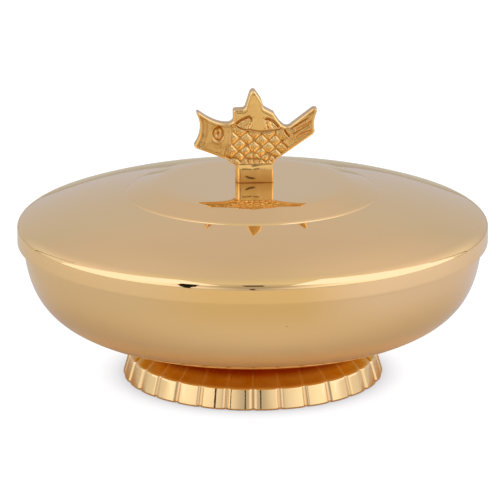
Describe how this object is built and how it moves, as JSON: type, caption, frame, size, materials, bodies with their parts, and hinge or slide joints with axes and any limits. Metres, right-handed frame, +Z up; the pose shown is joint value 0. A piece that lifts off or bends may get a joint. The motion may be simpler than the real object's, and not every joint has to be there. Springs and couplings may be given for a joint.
{
  "type": "ciborium",
  "caption": "Shallow covered bowl for altar breads on a fluted ring foot, with a lift-off conical lid and a cast fish as its grip.",
  "frame": {"origin": "centre of the foot's bottom edge, on the surface that the ciborium stands on", "axes": "+Z up along the axis of the bowl, foot and lid; the fish lies along X with its head towards -X and faces -Y"},
  "size_m": [0.17, 0.17, 0.1059],
  "materials": {
    "polished_gold": "spun brass, polished and gold plated to a mirror",
    "cast_gold": "cast brass, gold plated, softly polished with a fine cast grain",
    "fastener": "turned brass, satin"
  },
  "bodies": {
    "bowl": {"bowl_shell": "polished_gold", "foot_ring": "polished_gold", "bowl_stud": "fastener", "foot_washer": "fastener", "foot_nut": "fastener"},
    "lid": {"lid_shell": "polished_gold", "finial_fish": "cast_gold", "finial_stud": "fastener", "lid_washer": "fastener", "lid_nut": "fastener"}
  },
  "joints": [
    {"name": "lid_lift", "type": "slide", "parent": "bowl", "child": "lid", "axis": [0, 0, 1], "range_m": [0, 0.06]}
  ]
}
